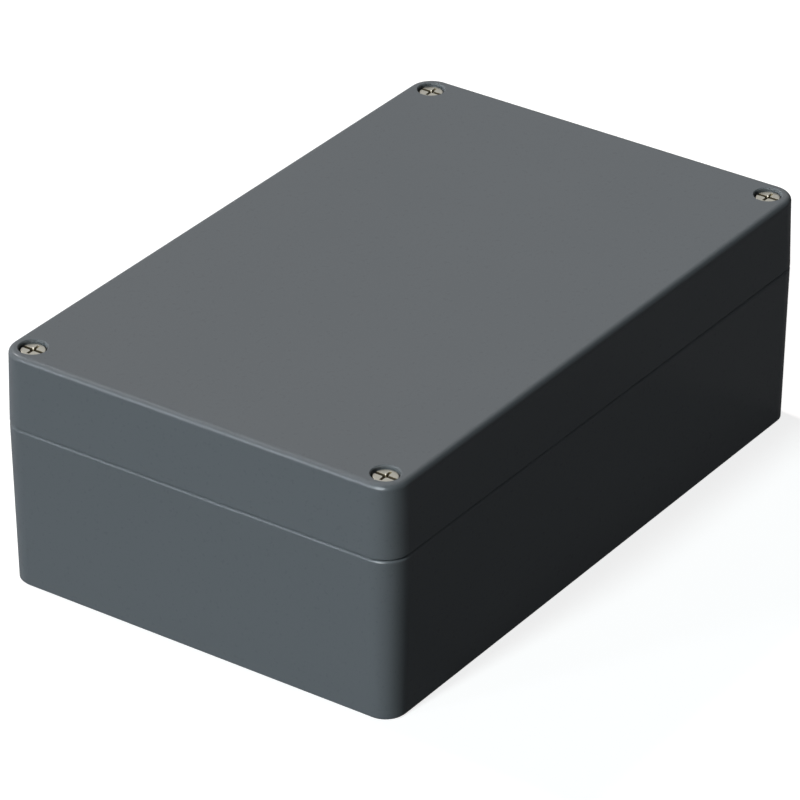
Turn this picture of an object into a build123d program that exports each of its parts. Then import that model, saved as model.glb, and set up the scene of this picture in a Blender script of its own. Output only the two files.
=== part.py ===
from build123d import *

import os
from math import radians, tan

# Die cast aluminium box with a screwed lid, in millimetres. The origin is at the centre of the
# underside, X runs along the length, Y across the width and Z up. Both castings narrow away from
# the parting plane, where the lid meets the base and where the length and the width are measured.

LENGTH = 280.0
WIDTH = 180.0
HEIGHT = 100.0
LID_HEIGHT = 31.0
CORNER_R = 10.5
OUTER_DRAFT = 1.1
BASE_FOOT_CHAMFER = 0.8
BASE_RIM_ROUND = 1.4
LID_RIM_CHAMFER = 0.5
LID_TOP_ROUND = 2.3

# Walls and hollows. The wall and the inner corners are those of the base at the parting plane.
WALL = 4.5
FLOOR = 4.5
ROOF = 4.0
INNER_DRAFT = 1.0
INNER_CORNER_R = 5.0
FLOOR_ROUND = 3.0
LEAST_STRAIGHT = 0.4

# Channels for the wall screws, in the corner blocks, below the lid and outside the seal
FIXING_INSET_X = 10.0
FIXING_INSET_Y = 25.0
FIXING_HOLE_D = 6.5
FIXING_SEAT_Z = 6.0
CHANNEL_D = 12.0
CHANNEL_WALL = 4.5

# Lid screws, M6, with a combined slot and cross, sunk in counterbores. The threads reach from the
# shoulder, above the parting plane, down into the base.
SCREW_INSET = 10.0
SCREW_D = 6.0
SCREW_NECK_D = 4.8
SCREW_ENGAGEMENT = 12.1
SCREW_SHOULDER_RISE = 2.9
SCREW_HEAD_D = 9.5
SCREW_HEAD_HEIGHT = 3.9
SCREW_HEAD_CHAMFER = 0.3
SCREW_HEAD_BELOW_LID = 1.2
HEAD_CLEARANCE = 0.75
HEAD_WEB = 3.0
MOUTH_CHAMFER = 0.4
SHANK_CLEARANCE = 0.25

# Recess of every screw head
SLOT_WIDTH = 1.3
SLOT_DEPTH = 1.5
CROSS_SPAN = 6.6
CROSS_WIDTH = 1.5
CROSS_DEPTH = 2.4
CROSS_TAPER = 12.0

# Tapped holes, drawn as plain bores of the screw's outer diameter
TAPPED_CLEARANCE = 0.05
TAPPED_SPARE_DEPTH = 4.0
TAPPED_COUNTERSINK = 0.5

# Rings on the screws' necks, which keep the screws in the lid
RING_D = 9.5
RING_THICKNESS = 1.5
RING_BORE_CLEARANCE = 0.1
RING_SIDE_CLEARANCE = 0.75

# Seal: a tongue on the base's rim presses on a gasket in the lid's groove
TONGUE_WIDTH = 1.8
TONGUE_HEIGHT = 2.0
TONGUE_CLEARANCE = 0.6
GROOVE_DEPTH = 4.5
GROOVE_LIP = 2.0
GASKET_CLEARANCE = 0.1

# Bosses on the floor for a mounting plate. Boss sizes are those at the floor.
PLATE_INSET_X = 30.0
PLATE_INSET_Y = 20.0
PLATE_BOSS_D = 11.0
PLATE_BOSS_HEIGHT = 6.0
PLATE_SCREW_D = 4.0
PLATE_HOLE_DEPTH = 8.0
BOSS_DRAFT = 3.0

# Earth terminal: a square boss, a channel-shaped clamp washer, a split spring washer and a screw
EARTH_INSET = 20.0
EARTH_BOSS_SIDE = 12.0
EARTH_BOSS_HEIGHT = 6.0
EARTH_BOSS_CORNER_R = 1.5
EARTH_HOLE_DEPTH = 7.0
EARTH_SCREW_D = 6.0
EARTH_SCREW_LENGTH = 8.0
EARTH_HEAD_D = 10.0
EARTH_HEAD_HEIGHT = 3.6
EARTH_HEAD_CHAMFER = 0.8
CLAMP_LENGTH = 13.0
CLAMP_THICKNESS = 1.0
CLAMP_FLANGE = 2.0
CLAMP_SIDE_CLEARANCE = 0.4
CLAMP_HOLE_CLEARANCE = 0.2
CLAMP_BEND_ROUND = 0.8
SPRING_WASHER_D = 10.0
SPRING_WASHER_THICKNESS = 1.6
SPRING_WASHER_BORE_CLEARANCE = 0.15
SPRING_WASHER_SPLIT = 0.8
SPRING_WASHER_SPLIT_TILT = 20.0

# Levels and places that follow from the sizes above
PARTING_Z = HEIGHT - LID_HEIGHT
TONGUE_TOP_Z = PARTING_Z + TONGUE_HEIGHT
GROOVE_ROOF_Z = PARTING_Z + GROOVE_DEPTH
SCREW_TOP_Z = HEIGHT - SCREW_HEAD_BELOW_LID
SCREW_SEAT_Z = SCREW_TOP_Z - SCREW_HEAD_HEIGHT
SCREW_TIP_Z = PARTING_Z - SCREW_ENGAGEMENT
SCREW_SHOULDER_Z = PARTING_Z + SCREW_SHOULDER_RISE
NOSE_R = CHANNEL_D / 2 + CHANNEL_WALL
BLOCK_X = LENGTH / 2 - FIXING_INSET_X - NOSE_R
BLOCK_Y = WIDTH / 2 - FIXING_INSET_Y - NOSE_R
FLOOR_SHRINK = (PARTING_Z - FLOOR) * tan(radians(INNER_DRAFT))
LIP_GROW = -TONGUE_CLEARANCE - GROOVE_LIP
EARTH_BOSS_Z = FLOOR + EARTH_BOSS_HEIGHT
CLAMP_TOP_Z = EARTH_BOSS_Z + CLAMP_THICKNESS
EARTH_SEAT_Z = CLAMP_TOP_Z + SPRING_WASHER_THICKNESS

# Cutting tools run this far past the faces that they cut, and edges are found this near a level.
OVERSHOOT = 1.0
LEVEL_TOLERANCE = 0.01

UPWARD = (Align.CENTER, Align.CENTER, Align.MIN)
CORNERS = ("front_left", "back_left", "front_right", "back_right")
SCREW_PLACES = GridLocations(LENGTH - 2 * SCREW_INSET, WIDTH - 2 * SCREW_INSET, 2, 2)
FIXING_PLACES = GridLocations(LENGTH - 2 * FIXING_INSET_X, WIDTH - 2 * FIXING_INSET_Y, 2, 2)
PLATE_PLACES = GridLocations(LENGTH - 2 * PLATE_INSET_X, WIDTH - 2 * PLATE_INSET_Y, 2, 2)
EARTH_PLACE = Pos(EARTH_INSET - LENGTH / 2, 0, 0)


def upward(plan, z, rise, draft=0.0):
    """A prism that stands at height z and narrows upwards by its draft."""
    return Pos(0, 0, z) * extrude(plan, amount=rise, taper=draft)


def downward(plan, z, drop, draft=0.0):
    """A prism that hangs from height z and narrows downwards. Its plan mirrors in X and Y."""
    return Pos(0, 0, z) * Rot(180, 0, 0) * extrude(plan, amount=drop, taper=draft)


def turned(*profile):
    """A turned solid, from radius and height pairs that start and end on its axis."""
    section = make_face(Polyline(*profile, close=True))
    return revolve(Plane.XZ * section, Axis.Z)


def level_edges(solid, z):
    """The solid's edges that lie at height z."""
    return solid.edges().filter_by_position(Axis.Z, z - LEVEL_TOLERANCE, z + LEVEL_TOLERANCE)


def rounded(solid, z, radius):
    """The solid with all its edges at height z rounded."""
    return fillet(level_edges(solid, z), radius)


def chamfered(solid, z, length):
    """The solid with all its edges at height z chamfered."""
    return chamfer(level_edges(solid, z), length)


def copies(solid, places):
    """The solid repeated at each place."""
    return [place * solid for place in places]


def outer_plan():
    """The outline of both castings at the parting plane."""
    return RectangleRounded(LENGTH, WIDTH, CORNER_R)


def inner_corner(grow):
    """The corner radius beside the blocks, limited by the wall between them and the end wall."""
    return min(INNER_CORNER_R, FIXING_INSET_X - WALL - LEAST_STRAIGHT) + grow


def inner_plan(grow):
    """The outline of the inside, moved outwards by grow. It runs round the four corner blocks."""
    reach_x = LENGTH / 2 - WALL + grow
    reach_y = WIDTH / 2 - WALL + grow
    block_x = BLOCK_X + grow
    block_y = BLOCK_Y + grow
    quarter = [(reach_x, block_y), (block_x, block_y), (block_x, reach_y)]
    outline = (
        quarter
        + [(-x, y) for x, y in reversed(quarter)]
        + [(-x, -y) for x, y in quarter]
        + [(x, -y) for x, y in reversed(quarter)]
    )
    radii = 4 * [inner_corner(grow), NOSE_R - grow, inner_corner(grow)]
    return make_face(FilletPolyline(*outline, radius=radii, close=True))


def seal_plan(inner_grow, outer_grow):
    """An endless band along the outline of the inside."""
    return inner_plan(outer_grow) - inner_plan(inner_grow)


def tapped_hole(diameter, z, depth):
    """The cut of a blind tapped hole in a face at height z, with a countersunk mouth."""
    radius = diameter / 2 + TAPPED_CLEARANCE
    mouth_r = radius + TAPPED_COUNTERSINK
    return turned(
        (0, z),
        (mouth_r, z),
        (radius, z - TAPPED_COUNTERSINK),
        (radius, z - depth),
        (0, z - depth),
    )


def head_recess(z, head_d):
    """The cut of the combined slot and cross in a screw head whose top is at height z."""
    arm = downward(Rectangle(CROSS_SPAN, CROSS_WIDTH), z, CROSS_DEPTH, CROSS_TAPER)
    slot = Pos(0, 0, z) * Box(SLOT_WIDTH, head_d + OVERSHOOT, 2 * SLOT_DEPTH)
    return [arm, Rot(0, 0, 90) * arm, slot]


def base_bosses():
    """The bosses on the floor: four for a mounting plate and a square one for the earth terminal."""
    plate_boss = upward(Circle(PLATE_BOSS_D / 2), FLOOR, PLATE_BOSS_HEIGHT, BOSS_DRAFT)
    earth_plan = RectangleRounded(EARTH_BOSS_SIDE, EARTH_BOSS_SIDE, EARTH_BOSS_CORNER_R)
    earth_boss = upward(earth_plan, FLOOR, EARTH_BOSS_HEIGHT, BOSS_DRAFT)
    return [*copies(plate_boss, PLATE_PLACES), EARTH_PLACE * earth_boss]


def base_casting():
    """The lower casting: walls, corner blocks with fixing channels, sealing tongue and bosses."""
    casting = downward(outer_plan(), PARTING_Z, PARTING_Z, OUTER_DRAFT)
    casting = chamfered(casting, 0, BASE_FOOT_CHAMFER)
    casting = rounded(casting, PARTING_Z, BASE_RIM_ROUND)
    cavity = downward(inner_plan(0), PARTING_Z, PARTING_Z - FLOOR, INNER_DRAFT)
    floor_round = min(FLOOR_ROUND, inner_corner(0) - FLOOR_SHRINK - LEAST_STRAIGHT)
    casting -= rounded(cavity, FLOOR, floor_round)

    casting += base_bosses()
    casting += upward(seal_plan(0, TONGUE_WIDTH), PARTING_Z, TONGUE_HEIGHT)

    plate_hole = tapped_hole(PLATE_SCREW_D, FLOOR + PLATE_BOSS_HEIGHT, PLATE_HOLE_DEPTH)
    earth_hole = tapped_hole(EARTH_SCREW_D, EARTH_BOSS_Z, EARTH_HOLE_DEPTH)
    screw_hole = tapped_hole(SCREW_D, PARTING_Z, SCREW_ENGAGEMENT + TAPPED_SPARE_DEPTH)
    channel_height = PARTING_Z - FIXING_SEAT_Z + OVERSHOOT
    channel = Pos(0, 0, FIXING_SEAT_Z) * Cylinder(CHANNEL_D / 2, channel_height, align=UPWARD)
    fixing_hole = Cylinder(FIXING_HOLE_D / 2, 2 * FIXING_SEAT_Z + OVERSHOOT)
    casting -= copies(plate_hole, PLATE_PLACES) + copies(screw_hole, SCREW_PLACES)
    casting -= copies(channel, FIXING_PLACES) + copies(fixing_hole, FIXING_PLACES)
    return casting - EARTH_PLACE * earth_hole


def lid_casting():
    """The upper casting: roof, seal groove and lip, and corner lands with the screws' bores."""
    casting = upward(outer_plan(), PARTING_Z, LID_HEIGHT, OUTER_DRAFT)
    casting = rounded(casting, HEIGHT, LID_TOP_ROUND)
    casting = chamfered(casting, PARTING_Z, LID_RIM_CHAMFER)
    casting -= upward(inner_plan(LIP_GROW), PARTING_Z, LID_HEIGHT - ROOF, INNER_DRAFT)
    groove_plan = seal_plan(-TONGUE_CLEARANCE, TONGUE_WIDTH + TONGUE_CLEARANCE)
    casting -= upward(groove_plan, PARTING_Z, GROOVE_DEPTH)

    ring_bore_r = RING_D / 2 + RING_SIDE_CLEARANCE
    web_z = SCREW_SEAT_Z - HEAD_WEB
    ring_bore = upward(Circle(ring_bore_r), PARTING_Z, web_z - PARTING_Z)
    shank_hole = upward(Circle(SCREW_D / 2 + SHANK_CLEARANCE), web_z, HEAD_WEB)
    head_bore_r = SCREW_HEAD_D / 2 + HEAD_CLEARANCE
    head_bore = upward(Circle(head_bore_r), SCREW_SEAT_Z, HEIGHT - SCREW_SEAT_Z)
    casting -= copies(ring_bore, SCREW_PLACES) + copies(shank_hole, SCREW_PLACES)
    casting -= copies(head_bore, SCREW_PLACES)
    mouths = level_edges(casting, HEIGHT).filter_by(lambda edge: edge.is_closed)
    return chamfer(mouths, MOUTH_CHAMFER)


def lid_gasket():
    """The endless gasket, between the groove's roof and the top of the base's tongue."""
    inset = TONGUE_CLEARANCE - GASKET_CLEARANCE
    plan = seal_plan(-inset, TONGUE_WIDTH + inset)
    return upward(plan, TONGUE_TOP_Z, GROOVE_ROOF_Z - TONGUE_TOP_Z)


def lid_screw():
    """A lid screw on the Z axis: head with its recess, reduced neck and threaded end."""
    head_r = SCREW_HEAD_D / 2
    neck_r = SCREW_NECK_D / 2
    thread_r = SCREW_D / 2
    screw = turned(
        (0, SCREW_TOP_Z),
        (head_r - SCREW_HEAD_CHAMFER, SCREW_TOP_Z),
        (head_r, SCREW_TOP_Z - SCREW_HEAD_CHAMFER),
        (head_r, SCREW_SEAT_Z),
        (neck_r, SCREW_SEAT_Z),
        (neck_r, SCREW_SHOULDER_Z),
        (thread_r, SCREW_SHOULDER_Z),
        (thread_r, SCREW_TIP_Z),
        (0, SCREW_TIP_Z),
    )
    return screw - head_recess(SCREW_TOP_Z, SCREW_HEAD_D)


def captive_ring():
    """The plastic ring that rests on the shoulder of a lid screw's thread, on the Z axis."""
    bore_r = SCREW_NECK_D / 2 + RING_BORE_CLEARANCE
    plan = Circle(RING_D / 2) - Circle(bore_r)
    return upward(plan, SCREW_SHOULDER_Z, RING_THICKNESS)


def clamp_washer():
    """The folded washer that grips a wire on the earth boss, on the Z axis."""
    gap = EARTH_BOSS_SIDE + 2 * CLAMP_SIDE_CLEARANCE
    across = gap + 2 * CLAMP_THICKNESS
    foot_z = EARTH_BOSS_Z - CLAMP_FLANGE
    washer = upward(Rectangle(CLAMP_LENGTH, across), foot_z, CLAMP_FLANGE + CLAMP_THICKNESS)
    bends = level_edges(washer, CLAMP_TOP_Z).filter_by(Axis.X)
    washer = fillet(bends, CLAMP_BEND_ROUND)
    washer -= upward(Rectangle(CLAMP_LENGTH, gap), foot_z, CLAMP_FLANGE)
    hole = Circle(EARTH_SCREW_D / 2 + CLAMP_HOLE_CLEARANCE)
    return washer - upward(hole, EARTH_BOSS_Z, CLAMP_THICKNESS)


def spring_washer():
    """The split spring washer, pressed flat under the earth screw's head, on the Z axis."""
    bore_r = EARTH_SCREW_D / 2 + SPRING_WASHER_BORE_CLEARANCE
    plan = Circle(SPRING_WASHER_D / 2) - Circle(bore_r)
    washer = upward(plan, CLAMP_TOP_Z, SPRING_WASHER_THICKNESS)
    middle_z = (CLAMP_TOP_Z + EARTH_SEAT_Z) / 2
    split = Box(SPRING_WASHER_D, SPRING_WASHER_SPLIT, 2 * SPRING_WASHER_THICKNESS)
    return washer - Pos(SPRING_WASHER_D / 2, 0, middle_z) * Rot(SPRING_WASHER_SPLIT_TILT, 0, 0) * split


def earth_screw():
    """The pan head screw of the earth terminal, on the Z axis."""
    head_r = EARTH_HEAD_D / 2
    thread_r = EARTH_SCREW_D / 2
    top_z = EARTH_SEAT_Z + EARTH_HEAD_HEIGHT
    tip_z = EARTH_SEAT_Z - EARTH_SCREW_LENGTH
    screw = turned(
        (0, top_z),
        (head_r - EARTH_HEAD_CHAMFER, top_z),
        (head_r, top_z - EARTH_HEAD_CHAMFER),
        (head_r, EARTH_SEAT_Z),
        (thread_r, EARTH_SEAT_Z),
        (thread_r, tip_z),
        (0, tip_z),
    )
    return screw - head_recess(top_z, EARTH_HEAD_D)


def pieces():
    """Every piece by its name, where it lies with the box closed."""
    yield "base_casting", base_casting()
    yield "lid_casting", lid_casting()
    yield "lid_gasket", lid_gasket()
    for corner, place in zip(CORNERS, SCREW_PLACES):
        yield f"lid_screw_{corner}", place * lid_screw()
        yield f"captive_ring_{corner}", place * captive_ring()
    yield "earth_clamp_washer", EARTH_PLACE * clamp_washer()
    yield "earth_spring_washer", EARTH_PLACE * spring_washer()
    yield "earth_screw", EARTH_PLACE * earth_screw()


os.makedirs("parts", exist_ok=True)
for name, solid in pieces():
    solid.label = name
    export_step(solid, f"parts/{name}.step")
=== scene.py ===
from math import ceil, cos, pi, radians, sin, tan, tau

import bmesh
import bpy
from mathutils import Matrix, Vector


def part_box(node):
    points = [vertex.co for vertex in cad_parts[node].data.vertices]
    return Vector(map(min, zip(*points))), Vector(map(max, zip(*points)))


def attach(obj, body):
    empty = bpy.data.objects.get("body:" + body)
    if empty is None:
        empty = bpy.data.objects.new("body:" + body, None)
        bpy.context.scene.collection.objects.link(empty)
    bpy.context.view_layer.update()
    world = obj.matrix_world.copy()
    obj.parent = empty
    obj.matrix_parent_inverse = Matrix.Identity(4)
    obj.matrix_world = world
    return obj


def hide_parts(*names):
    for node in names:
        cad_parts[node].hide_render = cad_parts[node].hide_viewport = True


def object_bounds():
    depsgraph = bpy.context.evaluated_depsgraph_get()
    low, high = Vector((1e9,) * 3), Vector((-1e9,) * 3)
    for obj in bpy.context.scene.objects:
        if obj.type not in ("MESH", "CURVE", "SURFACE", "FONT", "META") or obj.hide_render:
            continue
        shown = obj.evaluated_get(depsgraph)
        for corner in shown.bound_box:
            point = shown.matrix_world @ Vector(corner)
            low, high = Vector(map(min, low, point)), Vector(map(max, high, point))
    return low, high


# Die cast aluminium box with a screwed lid. X runs along the box, Y across it and Z up, and it
# stands on the floor at the origin. Lengths are in metres unless a name ends in _MM.

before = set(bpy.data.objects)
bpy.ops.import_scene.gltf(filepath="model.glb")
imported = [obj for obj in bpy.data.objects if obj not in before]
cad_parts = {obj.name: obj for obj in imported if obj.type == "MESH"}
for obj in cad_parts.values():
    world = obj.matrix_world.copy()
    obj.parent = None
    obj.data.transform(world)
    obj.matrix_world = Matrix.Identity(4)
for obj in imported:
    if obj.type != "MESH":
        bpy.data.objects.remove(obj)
CAD_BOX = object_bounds()

MM = 0.001
CORNERS = ("front_left", "back_left", "front_right", "back_right")

# The camera stands at the photograph's viewing angle, far off with a long lens. The shifts move its
# aim away from the middle of the box.
VIEW_AZIMUTH = -55.053
VIEW_ELEVATION = 29.956
VIEW_DISTANCE = 2.0719
VIEW_REACH = 100.0
VIEW_LENS_MM = 241.69
VIEW_SENSOR_MM = 36.0
VIEW_SHIFT_RIGHT = -0.00378
VIEW_SHIFT_UP = -0.00675

# Light: a warm key from behind and above, a cool side lamp high on the left, and a weak edge lamp
# low behind on the left. Directions point towards the lamps, and softness is a lamp's width as it
# is seen from the box, in degrees.
LAMP_SOFTNESS = 8.0
KEY_DIRECTION = (0.069, 0.696, 0.715)
KEY_COLOR = (1.0, 0.907, 0.873)
KEY_STRENGTH = 2.38
SIDE_DIRECTION = (-0.80, 0.08, 0.595)
SIDE_COLOR = (0.87, 0.988, 1.0)
SIDE_STRENGTH = 2.15
EDGE_DIRECTION = (-0.847, 0.468, 0.251)
EDGE_COLOR = (0.825, 0.85, 1.0)
EDGE_STRENGTH = 0.687

# Two wide lamps low on the left that only draw the soft highlights along the edges
GLINT_SOFTNESS = 40.0
GLINT_COLOR = (1.0, 0.98, 0.97)
NEAR_GLINT_DIRECTION = (-0.935, -0.2, 0.29)
NEAR_GLINT_STRENGTH = 13.0
FAR_GLINT_DIRECTION = (-0.88, 0.43, 0.20)
FAR_GLINT_STRENGTH = 2.4

# Surroundings: a dim fill, and a white floor that keeps a faint shadow and throws little light back
FILL_COLOR = (0.836, 0.909, 1.0)
FILL_STRENGTH = 0.046
FLOOR_SIZE = 8.0
FLOOR_BOUNCE = (0.03, 0.03, 0.03)
FLOOR_GLOW = 0.83
FLOOR_SHADE = 0.35

# Powder coat: dark grey, nearly even, with a faint orange peel
COAT_DARK = (0.134, 0.145, 0.154)
COAT_PALE = (0.139, 0.150, 0.159)
COAT_METALLIC = 0.07
COAT_ROUGHNESS = (0.26, 0.30)
COAT_CLOUD_SIZE = 0.04
PEEL_SIZE = 0.0016
PEEL_HEIGHT = 0.000004
GRAIN_SIZE = 0.0003
GRAIN_HEIGHT = 0.000001

# Bare metal in the base's tapped holes and on top of its earth boss. A hole of four is given by its
# radius and by how far its centre lies from the middle of the box, along X and along Y. All tapped
# holes end above HOLE_FLOOR, so the underside stays coated. The boss's top is flat and bare as far as
# EARTH_BOSS_REACH from its middle and within EARTH_BOSS_SKIN of its level.
SCREW_HOLES = (0.00355, 0.130, 0.080)
PLATE_HOLES = (0.00255, 0.110, 0.070)
EARTH_HOLE_R = 0.00355
HOLE_FLOOR = 0.001
EARTH_BOSS_TOP = 0.0105
EARTH_BOSS_REACH = 0.0057
EARTH_BOSS_SKIN = 0.00005
BARE_COLOR = (0.62, 0.62, 0.60)
BARE_ROUGHNESS = 0.38
THREAD_BUMP_HEIGHT = 0.0002

# Metals and soft parts
SCREW_PALE = (0.39, 0.38, 0.337)
SCREW_DULL = (0.305, 0.295, 0.253)
SCREW_ROUGHNESS = (0.28, 0.42)
# The recess colour is painted shade: a dark brown standing in for the shade that falls in the slot, the
# cross and the pit
RECESS_SHADE_COLOR = (0.062, 0.053, 0.033)
RECESS_ROUGHNESS = 0.6
ZINC_PALE = (0.70, 0.71, 0.72)
ZINC_DULL = (0.52, 0.54, 0.56)
ZINC_ROUGHNESS = (0.24, 0.40)
METAL_CLOUD_SIZE = 0.0012
METAL_CLOUD_DETAIL = 4.0
TURNING_PITCH = 0.00012
TURNING_HEIGHT = 0.0000012
RUBBER_DARK = (0.016, 0.016, 0.017)
RUBBER_PALE = (0.026, 0.026, 0.027)
RUBBER_ROUGHNESS = 0.8
RUBBER_CELL_SIZE = 0.0004
RUBBER_CELL_HEIGHT = 0.00003
NYLON_PALE = (0.74, 0.71, 0.62)
NYLON_DULL = (0.666, 0.639, 0.558)
NYLON_ROUGHNESS = 0.45
NYLON_GLOW_SHARE = 0.3
NYLON_GLOW_SPREAD = (1.0, 0.8, 0.5)
NYLON_GLOW_DEPTH = 0.001

# Screws. The heads have a combined slot and cross, and the threads are metric coarse, M6. A head's
# EDGE is the width and the height of its rounding, and the pit's radii are those at its mouth and
# at its end. Drafts and angles are in degrees.
PITCH_MM = 1.0
THREAD_STEPS = 8
COLUMNS = 64
EDGE_STEPS = 6
CREST_SHARE = 1 / 8
ROOT_DEPTH_SHARE = 0.6134
FLANK_ANGLE = 30.0
THREAD_D_MM = 6.0
THREAD_END_R_MM = 2.3
NECK_R_MM = 2.4
NECK_BLEND_MM = 0.3
UNDERHEAD_BREAK_MM = 0.15
LID_SCREW_HEAD_HEIGHT_MM = 3.9
LID_SCREW_EDGE_MM = (0.3, 0.25)
EARTH_SCREW_HEAD_HEIGHT_MM = 3.6
EARTH_SCREW_EDGE_MM = (1.3, 2.0)
SLOT_WIDTH_MM = 1.35
SLOT_DEPTH_MM = 1.5
CROSS_SPAN_MM = 6.6
CROSS_WIDTH_MM = 1.1
CROSS_DEPTH_MM = 2.4
CROSS_SIDE_DRAFT = 10.0
CROSS_END_DRAFT = 25.0
PIT_R_MM = (0.95, 0.4)
PIT_DEPTH_MM = 2.7
PIT_SIDES = 24
RECESS_BREAK_MM = 0.06
CUT_ABOVE_MM = 0.5
WELD_MM = 0.0001
SHARP_EDGE = 35.0

# The recess's painted shade ends this far past its walls and this far below the top of the head.
RECESS_SKIN_MM = 0.02


def box_middle(box):
    """The middle point of a box given by its two corners."""
    return (Vector(box[0]) + Vector(box[1])) / 2


def make_camera():
    """The scene's camera, aimed just beside the middle of the box."""
    azimuth = radians(VIEW_AZIMUTH)
    elevation = radians(VIEW_ELEVATION)
    right = Vector((cos(azimuth), sin(azimuth), 0))
    back = Vector((sin(azimuth) * cos(elevation), -cos(azimuth) * cos(elevation), sin(elevation)))
    up = back.cross(right)
    data = bpy.data.cameras.new("camera")
    data.lens = VIEW_LENS_MM
    data.sensor_width = VIEW_SENSOR_MM
    data.clip_end = VIEW_REACH
    camera = bpy.data.objects.new("camera", data)
    bpy.context.scene.collection.objects.link(camera)
    aim = box_middle(CAD_BOX) + VIEW_SHIFT_RIGHT * right + VIEW_SHIFT_UP * up
    turn = Matrix((right, up, back)).transposed().to_4x4()
    camera.matrix_world = Matrix.Translation(aim + VIEW_DISTANCE * back) @ turn
    bpy.context.scene.camera = camera


class Nodes:
    """A small helper that adds shader nodes to one tree and links them."""

    def __init__(self, tree):
        self.tree = tree
        self.tree.nodes.clear()

    def add(self, kind, inputs=None, **settings):
        node = self.tree.nodes.new(kind)
        for name, value in settings.items():
            setattr(node, name, value)
        for key, value in (inputs or {}).items():
            if isinstance(value, bpy.types.NodeSocket):
                self.tree.links.new(value, node.inputs[key])
            else:
                node.inputs[key].default_value = value
        return node

    def math(self, operation, *values):
        return self.add("ShaderNodeMath", dict(enumerate(values)), operation=operation).outputs[0]

    def position(self):
        """The point on the piece, in the piece's own coordinates."""
        return self.add("ShaderNodeTexCoord").outputs["Object"]

    def axes(self, vector):
        return self.add("ShaderNodeSeparateXYZ", {0: vector}).outputs

    def noise(self, position, size, detail=2.0):
        """Noise between 0 and 1, whose patches are about as large as size."""
        inputs = {"Vector": position, "Scale": 1 / size, "Detail": detail}
        return self.add("ShaderNodeTexNoise", inputs).outputs[0]

    def mix_value(self, share, first, second):
        """A number between two others. A mix node's sockets 2 and 3 are its numbers."""
        return self.add("ShaderNodeMix", {0: share, 2: first, 3: second}).outputs[0]

    def mix_color(self, share, first, second):
        """A colour between two others. A mix node's sockets 6 and 7 are its colours."""
        inputs = {0: share}
        for socket, side in ((6, first), (7, second)):
            inputs[socket] = side if isinstance(side, bpy.types.NodeSocket) else (*side, 1)
        return self.add("ShaderNodeMix", inputs, data_type="RGBA").outputs[2]

    def bump(self, height, distance, normal=None):
        inputs = {"Height": height, "Distance": distance}
        if normal is not None:
            inputs["Normal"] = normal
        return self.add("ShaderNodeBump", inputs).outputs[0]

    def radius(self, x, y):
        squares = self.math("ADD", self.math("POWER", x, 2), self.math("POWER", y, 2))
        return self.math("SQRT", squares)


def background_rays(nodes):
    """1 for the rays that shall see a white background, and 0 for those that only carry light."""
    path = nodes.add("ShaderNodeLightPath").outputs
    seen = nodes.math("MAXIMUM", path["Is Camera Ray"], path["Is Glossy Ray"])
    return nodes.math("MAXIMUM", seen, path["Is Transmission Ray"])


def make_world():
    """A white background, and a dim fill light."""
    world = bpy.data.worlds.new("studio")
    bpy.context.scene.world = world
    world.use_nodes = True
    nodes = Nodes(world.node_tree)
    fill = nodes.add("ShaderNodeBackground", {"Color": (*FILL_COLOR, 1), "Strength": FILL_STRENGTH})
    white = nodes.add("ShaderNodeBackground", {"Color": (1, 1, 1, 1), "Strength": 1.0})
    sides = {0: background_rays(nodes), 1: fill.outputs[0], 2: white.outputs[0]}
    mix = nodes.add("ShaderNodeMixShader", sides)
    nodes.add("ShaderNodeOutputWorld", {"Surface": mix.outputs[0]})


def add_lamp(name, direction, color, strength, softness=LAMP_SOFTNESS):
    """A far lamp in one direction."""
    data = bpy.data.lights.new(name, "SUN")
    data.energy = strength
    data.angle = radians(softness)
    data.color = color
    lamp = bpy.data.objects.new(name, data)
    bpy.context.scene.collection.objects.link(lamp)
    lamp.rotation_euler = Vector(direction).to_track_quat("Z", "Y").to_euler()
    return lamp


def add_glint(name, direction, strength):
    """A wide far lamp that is seen in glossy surfaces and lights nothing else."""
    lamp = add_lamp(name, direction, GLINT_COLOR, strength, GLINT_SOFTNESS)
    lamp.visible_diffuse = False


def make_lamps():
    """The lamps of the studio."""
    add_lamp("key", KEY_DIRECTION, KEY_COLOR, KEY_STRENGTH)
    add_lamp("side", SIDE_DIRECTION, SIDE_COLOR, SIDE_STRENGTH)
    add_lamp("edge", EDGE_DIRECTION, EDGE_COLOR, EDGE_STRENGTH)
    add_glint("near_glint", NEAR_GLINT_DIRECTION, NEAR_GLINT_STRENGTH)
    add_glint("far_glint", FAR_GLINT_DIRECTION, FAR_GLINT_STRENGTH)


def make_floor():
    """A white floor that keeps the box's shadow and throws little light back on it."""
    mesh = bpy.data.meshes.new("floor")
    half = FLOOR_SIZE / 2
    corners = [(-half, -half, 0), (half, -half, 0), (half, half, 0), (-half, half, 0)]
    mesh.from_pydata(corners, [], [(0, 1, 2, 3)])
    plane = bpy.data.objects.new("floor", mesh)
    bpy.context.scene.collection.objects.link(plane)
    material = bpy.data.materials.new("floor")
    material.use_nodes = True
    nodes = Nodes(material.node_tree)
    bounce = nodes.add("ShaderNodeBsdfDiffuse", {"Color": (*FLOOR_BOUNCE, 1)})
    shade = nodes.add("ShaderNodeBsdfDiffuse", {"Color": (FLOOR_SHADE, FLOOR_SHADE, FLOOR_SHADE, 1)})
    glow = nodes.add("ShaderNodeEmission", {"Color": (1, 1, 1, 1), "Strength": FLOOR_GLOW})
    paper = nodes.add("ShaderNodeAddShader", {0: shade.outputs[0], 1: glow.outputs[0]})
    sides = {0: background_rays(nodes), 1: bounce.outputs[0], 2: paper.outputs[0]}
    mix = nodes.add("ShaderNodeMixShader", sides)
    nodes.add("ShaderNodeOutputMaterial", {"Surface": mix.outputs[0]})
    mesh.materials.append(material)


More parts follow.
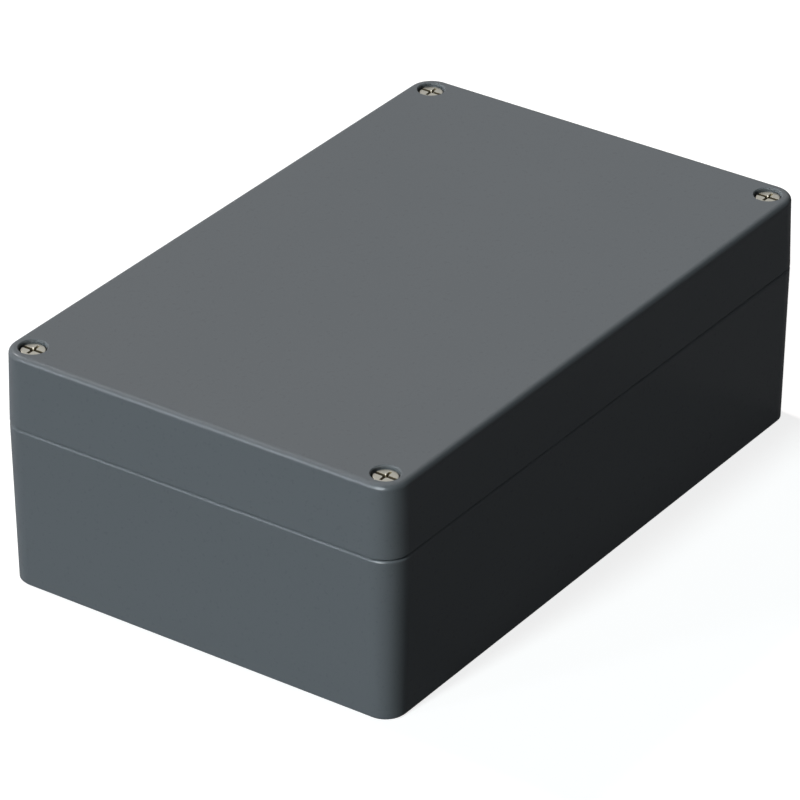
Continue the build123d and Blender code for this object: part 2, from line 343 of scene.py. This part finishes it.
def principled(name, **inputs):
    """A material with a principled shader. Returns it with its node helper and its shader."""
    material = bpy.data.materials.new(name)
    material.use_nodes = True
    nodes = Nodes(material.node_tree)
    settings = {key.replace("_", " "): value for key, value in inputs.items()}
    shader = nodes.add("ShaderNodeBsdfPrincipled", settings)
    nodes.add("ShaderNodeOutputMaterial", {"Surface": shader.outputs[0]})
    return material, nodes, shader


def feed(nodes, shader, **outputs):
    """Links outputs to the shader's inputs of those names."""
    for key, output in outputs.items():
        nodes.tree.links.new(output, shader.inputs[key.replace("_", " ")])


def grid_offset(nodes, value, spacing):
    """How far a coordinate lies from the nearer one of two lines at plus and minus spacing."""
    return nodes.math("SUBTRACT", value, nodes.math("MULTIPLY", nodes.math("SIGN", value), spacing))


def earth_boss_top(nodes, away_x, away_y, z):
    """Where the base is the flat top of the earth boss, from the distances to its middle."""
    away = nodes.math("MAXIMUM", nodes.math("ABSOLUTE", away_x), nodes.math("ABSOLUTE", away_y))
    height = nodes.math("ABSOLUTE", nodes.math("SUBTRACT", z, EARTH_BOSS_TOP))
    near = nodes.math("LESS_THAN", away, EARTH_BOSS_REACH)
    return nodes.math("MULTIPLY", near, nodes.math("LESS_THAN", height, EARTH_BOSS_SKIN))


def bare_metal(nodes, position):
    """Where the base is bare metal, and the height of the threads in its tapped holes."""
    x, y, z = nodes.axes(position)
    above = nodes.math("GREATER_THAN", z, HOLE_FLOOR)
    earth = box_middle(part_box("earth_screw"))
    earth_x = nodes.math("SUBTRACT", x, earth.x)
    earth_y = nodes.math("SUBTRACT", y, earth.y)
    holes = [(EARTH_HOLE_R, earth_x, earth_y)]
    for radius, spacing_x, spacing_y in (SCREW_HOLES, PLATE_HOLES):
        holes.append((radius, grid_offset(nodes, x, spacing_x), grid_offset(nodes, y, spacing_y)))
    mask = earth_boss_top(nodes, earth_x, earth_y, z)
    threads = 0.0
    for radius, away_x, away_y in holes:
        inside = nodes.math("LESS_THAN", nodes.radius(away_x, away_y), radius)
        inside = nodes.math("MULTIPLY", inside, above)
        mask = nodes.math("MAXIMUM", mask, inside)
        turn = nodes.math("ARCTAN2", away_y, away_x)
        rise = nodes.math("MULTIPLY", z, tau / (PITCH_MM * MM))
        wave = nodes.math("SINE", nodes.math("SUBTRACT", turn, rise))
        threads = nodes.math("ADD", threads, nodes.math("MULTIPLY", wave, inside))
    return mask, threads


def powder_coat(name, bare=False):
    """Dark grey powder coat. bare leaves the base's tapped holes and earth boss without it."""
    material, nodes, shader = principled(name, Metallic=COAT_METALLIC, Specular_IOR_Level=0.0)
    position = nodes.position()
    cloud = nodes.noise(position, COAT_CLOUD_SIZE)
    peel = nodes.noise(position, PEEL_SIZE)
    grain = nodes.noise(position, GRAIN_SIZE)
    color = nodes.mix_color(cloud, COAT_DARK, COAT_PALE)
    roughness = nodes.mix_value(peel, *COAT_ROUGHNESS)
    normal = nodes.bump(grain, GRAIN_HEIGHT, nodes.bump(peel, PEEL_HEIGHT))
    if bare:
        mask, threads = bare_metal(nodes, position)
        color = nodes.mix_color(mask, color, BARE_COLOR)
        roughness = nodes.mix_value(mask, roughness, BARE_ROUGHNESS)
        normal = nodes.bump(threads, THREAD_BUMP_HEIGHT, normal)
        feed(nodes, shader, Metallic=nodes.mix_value(mask, COAT_METALLIC, 1.0))
    feed(nodes, shader, Base_Color=color, Roughness=roughness, Normal=normal)
    return material


def in_recess(nodes, x, y, z, node):
    """Where the surface of a node's screw lies in the slot, the cross or the pit of its recess."""
    low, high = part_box(node)
    edge = RECESS_BREAK_MM + RECESS_SKIN_MM

    def within(value, half):
        return nodes.math("LESS_THAN", nodes.math("ABSOLUTE", value), (half + edge) * MM)

    radius = nodes.radius(x, y)
    slot = within(x, SLOT_WIDTH_MM / 2)
    cross = nodes.math("MULTIPLY", within(x, CROSS_SPAN_MM / 2), within(y, CROSS_WIDTH_MM / 2))
    plan = nodes.math("MAXIMUM", nodes.math("MAXIMUM", slot, cross), within(radius, PIT_R_MM[0]))
    head_r = (high[0] - low[0]) / 2
    limits = (
        nodes.math("LESS_THAN", radius, head_r - RECESS_SKIN_MM * MM),
        nodes.math("LESS_THAN", z, high[2] - RECESS_SKIN_MM * MM),
        nodes.math("GREATER_THAN", z, high[2] - (PIT_DEPTH_MM + RECESS_SKIN_MM) * MM),
    )
    for limit in limits:
        plan = nodes.math("MULTIPLY", plan, limit)
    return plan


def turned_metal(name, pale, dull, roughness, node):
    """The plated metal of a node's screw, with faint turning marks round the Z axis and painted shade
    in its recess.
    """
    material, nodes, shader = principled(name, Metallic=1.0)
    position = nodes.position()
    x, y, z = nodes.axes(position)
    cloud = nodes.noise(position, METAL_CLOUD_SIZE, METAL_CLOUD_DETAIL)
    marks = nodes.math("SINE", nodes.math("MULTIPLY", nodes.radius(x, y), tau / TURNING_PITCH))
    # Painted shade: the recess is darkened by its colour, not by light
    recess = in_recess(nodes, x, y, z, node)
    color = nodes.mix_color(recess, nodes.mix_color(cloud, pale, dull), RECESS_SHADE_COLOR)
    rough = nodes.mix_value(recess, nodes.mix_value(cloud, *roughness), RECESS_ROUGHNESS)
    feed(nodes, shader, Base_Color=color, Roughness=rough, Normal=nodes.bump(marks, TURNING_HEIGHT))
    return material


def plated_sheet(name):
    """Zinc plated sheet or wire, without turning marks."""
    material, nodes, shader = principled(name, Metallic=1.0)
    position = nodes.position()
    cloud = nodes.noise(position, METAL_CLOUD_SIZE, METAL_CLOUD_DETAIL)
    color = nodes.mix_color(cloud, ZINC_PALE, ZINC_DULL)
    rough = nodes.mix_value(cloud, *ZINC_ROUGHNESS)
    normal = nodes.bump(nodes.noise(position, GRAIN_SIZE), TURNING_HEIGHT)
    feed(nodes, shader, Base_Color=color, Roughness=rough, Normal=normal)
    return material


def rubber():
    """Black cellular rubber."""
    material, nodes, shader = principled("gasket_rubber", Roughness=RUBBER_ROUGHNESS)
    cells = nodes.noise(nodes.position(), RUBBER_CELL_SIZE)
    color = nodes.mix_color(cells, RUBBER_DARK, RUBBER_PALE)
    feed(nodes, shader, Base_Color=color, Normal=nodes.bump(cells, RUBBER_CELL_HEIGHT))
    return material


def nylon():
    """Natural nylon, slightly translucent."""
    material, nodes, shader = principled(
        "natural_nylon",
        Roughness=NYLON_ROUGHNESS,
        Subsurface_Weight=NYLON_GLOW_SHARE,
        Subsurface_Radius=NYLON_GLOW_SPREAD,
        Subsurface_Scale=NYLON_GLOW_DEPTH,
    )
    grain = nodes.noise(nodes.position(), GRAIN_SIZE)
    color = nodes.mix_color(grain, NYLON_PALE, NYLON_DULL)
    feed(nodes, shader, Base_Color=color, Normal=nodes.bump(grain, PEEL_HEIGHT))
    return material


def dress(node, material):
    """Gives a fixed node its material."""
    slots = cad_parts[node].data.materials
    slots.clear()
    slots.append(material)


def add_walls(bm, profile):
    """A turned surface round the Z axis through radius and height pairs. Returns its end rings."""
    rings = []
    for radius, z in profile:
        angles = [tau * column / COLUMNS for column in range(COLUMNS)]
        rings.append([bm.verts.new((radius * cos(a), radius * sin(a), z)) for a in angles])
    for lower, upper in zip(rings, rings[1:]):
        for here, there in zip(range(COLUMNS), [*range(1, COLUMNS), 0]):
            bm.faces.new((lower[here], lower[there], upper[there], upper[here]))
    return rings[0], rings[-1]


def thread_cut(row):
    """How deep the thread is cut at a row of points, by the metric profile."""
    turn = (row - 0.5) / THREAD_STEPS % 1
    from_crest = min(turn, 1 - turn)
    flank = (from_crest - CREST_SHARE / 2) * PITCH_MM / tan(radians(FLANK_ANGLE))
    return min(max(flank, 0), ROOT_DEPTH_SHARE * PITCH_MM)


def add_thread(bm, low, high):
    """A helical thread between two heights, chamfered at both ends."""
    rows = ceil(((high - low) / PITCH_MM + 1) * THREAD_STEPS)
    grid = []
    for row in range(rows + 1):
        line = []
        for column in range(COLUMNS + 1):
            turn = row / THREAD_STEPS + column / COLUMNS - 1
            z = min(max(low + turn * PITCH_MM, low), high)
            chamfer = THREAD_END_R_MM + min(z - low, high - z)
            radius = min(THREAD_D_MM / 2 - thread_cut(row), chamfer)
            angle = tau * column / COLUMNS
            line.append(bm.verts.new((radius * cos(angle), radius * sin(angle), z)))
        grid.append(line)
    for lower, upper in zip(grid, grid[1:]):
        for column in range(COLUMNS):
            bm.faces.new((lower[column], lower[column + 1], upper[column + 1], upper[column]))


def trough(half_x, half_y, depth, draft_x, draft_y):
    """A cutter for a straight groove from height 0 down, with a broken edge at its mouth."""
    bm = bmesh.new()
    flare = RECESS_BREAK_MM + CUT_ABOVE_MM
    levels = (
        (CUT_ABOVE_MM, half_x + flare, half_y + flare),
        (-RECESS_BREAK_MM, half_x, half_y),
        (-depth, half_x - depth * tan(radians(draft_x)), half_y - depth * tan(radians(draft_y))),
    )
    loops = []
    for z, x, y in levels:
        loops.append([bm.verts.new((a * x, b * y, z)) for a, b in ((-1, -1), (1, -1), (1, 1), (-1, 1))])
    for upper, lower in zip(loops, loops[1:]):
        for here, there in ((0, 1), (1, 2), (2, 3), (3, 0)):
            bm.faces.new((upper[here], lower[here], lower[there], upper[there]))
    bm.faces.new(loops[0])
    bm.faces.new(reversed(loops[-1]))
    return bm


def pit():
    """A cutter for the tapered pit where the arms of the cross meet."""
    bm = bmesh.new()
    bmesh.ops.create_cone(
        bm,
        cap_ends=True,
        segments=PIT_SIDES,
        radius1=PIT_R_MM[1],
        radius2=PIT_R_MM[0] + CUT_ABOVE_MM,
        depth=PIT_DEPTH_MM + CUT_ABOVE_MM,
        matrix=Matrix.Translation((0, 0, (CUT_ABOVE_MM - PIT_DEPTH_MM) / 2)),
    )
    return bm


def recess_cutters(head_r):
    """The cutters of the combined slot and cross, for a head whose top is at height 0."""
    arm = (CROSS_SPAN_MM / 2, CROSS_WIDTH_MM / 2, CROSS_DEPTH_MM)
    yield trough(SLOT_WIDTH_MM / 2, head_r + CUT_ABOVE_MM, SLOT_DEPTH_MM, 0, 0)
    yield trough(*arm, CROSS_END_DRAFT, CROSS_SIDE_DRAFT)
    yield trough(arm[1], arm[0], arm[2], CROSS_SIDE_DRAFT, CROSS_END_DRAFT)
    yield pit()


def cut_recess(screw, top, head_r):
    """Cuts the recess into a screw's head and takes the cutters away."""
    cutters = []
    for bm in recess_cutters(head_r):
        bmesh.ops.translate(bm, vec=(0, 0, top), verts=bm.verts)
        bmesh.ops.recalc_face_normals(bm, faces=bm.faces)
        mesh = bpy.data.meshes.new("cutter")
        bm.to_mesh(mesh)
        bm.free()
        cutter = bpy.data.objects.new("cutter", mesh)
        bpy.context.scene.collection.objects.link(cutter)
        cutters.append(cutter)
        cut = screw.modifiers.new("recess", "BOOLEAN")
        cut.operation = "DIFFERENCE"
        cut.solver = "EXACT"
        cut.object = cutter
    depsgraph = bpy.context.evaluated_depsgraph_get()
    mesh = bpy.data.meshes.new_from_object(screw.evaluated_get(depsgraph))
    screw.modifiers.clear()
    screw.data = mesh
    for cutter in cutters:
        bpy.data.objects.remove(cutter)
    return mesh


def screw_mesh(name, node, head_height, edge, neck):
    """A screw's mesh on the Z axis, at the heights of its node, in metres."""
    low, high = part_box(node)
    tip = low[2] / MM
    top = high[2] / MM
    head_r = (high[0] - low[0]) / 2 / MM
    seat = top - head_height
    thread_end = seat - NECK_BLEND_MM - neck
    bm = bmesh.new()
    add_thread(bm, tip, thread_end)
    profile = [
        (THREAD_END_R_MM, thread_end),
        (NECK_R_MM, thread_end + NECK_R_MM - THREAD_END_R_MM),
        (NECK_R_MM, seat - NECK_BLEND_MM),
        (NECK_R_MM + NECK_BLEND_MM, seat),
        (head_r - UNDERHEAD_BREAK_MM, seat),
        (head_r, seat + UNDERHEAD_BREAK_MM),
    ]
    width, height = edge
    for step in range(EDGE_STEPS + 1):
        angle = pi / 2 * step / EDGE_STEPS
        profile.append((head_r - width + width * cos(angle), top - height + height * sin(angle)))
    end_ring = add_walls(bm, profile)[1]
    bm.faces.new(end_ring)
    tip_ring = add_walls(bm, [(THREAD_END_R_MM, tip)])[0]
    bm.faces.new(reversed(tip_ring))
    bmesh.ops.remove_doubles(bm, verts=bm.verts, dist=WELD_MM)
    bmesh.ops.recalc_face_normals(bm, faces=bm.faces)
    mesh = bpy.data.meshes.new(name)
    bm.to_mesh(mesh)
    bm.free()
    screw = bpy.data.objects.new(name, mesh)
    bpy.context.scene.collection.objects.link(screw)
    mesh = cut_recess(screw, top, head_r)
    bpy.data.objects.remove(screw)
    mesh.transform(Matrix.Scale(MM, 4))
    mesh.polygons.foreach_set("use_smooth", [True] * len(mesh.polygons))
    mesh.set_sharp_from_angle(angle=radians(SHARP_EDGE))
    return mesh


def add_screw(name, mesh, node, body):
    """A screw that stands for a node, on the node's axis."""
    screw = bpy.data.objects.new(name, mesh)
    bpy.context.scene.collection.objects.link(screw)
    middle = box_middle(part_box(node))
    screw.location = (middle.x, middle.y, 0)
    bpy.context.view_layer.update()
    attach(screw, body)
    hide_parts(node)


def make_lid_screws():
    """The four lid screws, which share one mesh."""
    first = f"lid_screw_{CORNERS[0]}"
    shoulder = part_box(f"captive_ring_{CORNERS[0]}")[0][2] / MM
    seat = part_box(first)[1][2] / MM - LID_SCREW_HEAD_HEIGHT_MM
    neck = seat - NECK_BLEND_MM - shoulder
    mesh = screw_mesh("lid_screw", first, LID_SCREW_HEAD_HEIGHT_MM, LID_SCREW_EDGE_MM, neck)
    mesh.materials.append(turned_metal("plated_screw", SCREW_PALE, SCREW_DULL, SCREW_ROUGHNESS, first))
    for corner in CORNERS:
        add_screw(f"screw_{corner}", mesh, f"lid_screw_{corner}", f"screw_{corner}")


def make_earth_screw():
    """The pan head screw of the earth terminal."""
    node = "earth_screw"
    mesh = screw_mesh("earth_terminal_screw", node, EARTH_SCREW_HEAD_HEIGHT_MM, EARTH_SCREW_EDGE_MM, 0)
    mesh.materials.append(turned_metal("zinc_screw", ZINC_PALE, ZINC_DULL, ZINC_ROUGHNESS, node))
    add_screw("earth_pan_screw", mesh, node, "earth_terminal_screw")


def dress_nodes():
    """The materials of the nodes that stay as they are."""
    dress("base_casting", powder_coat("powder_coat_base", bare=True))
    dress("lid_casting", powder_coat("powder_coat_lid"))
    dress("lid_gasket", rubber())
    ring_material = nylon()
    for corner in CORNERS:
        dress(f"captive_ring_{corner}", ring_material)
    sheet = plated_sheet("zinc_sheet")
    dress("earth_clamp_washer", sheet)
    dress("earth_spring_washer", sheet)


bpy.context.scene.view_settings.view_transform = "Standard"
make_camera()
make_world()
make_lamps()
make_floor()
make_lid_screws()
make_earth_screw()
dress_nodes()
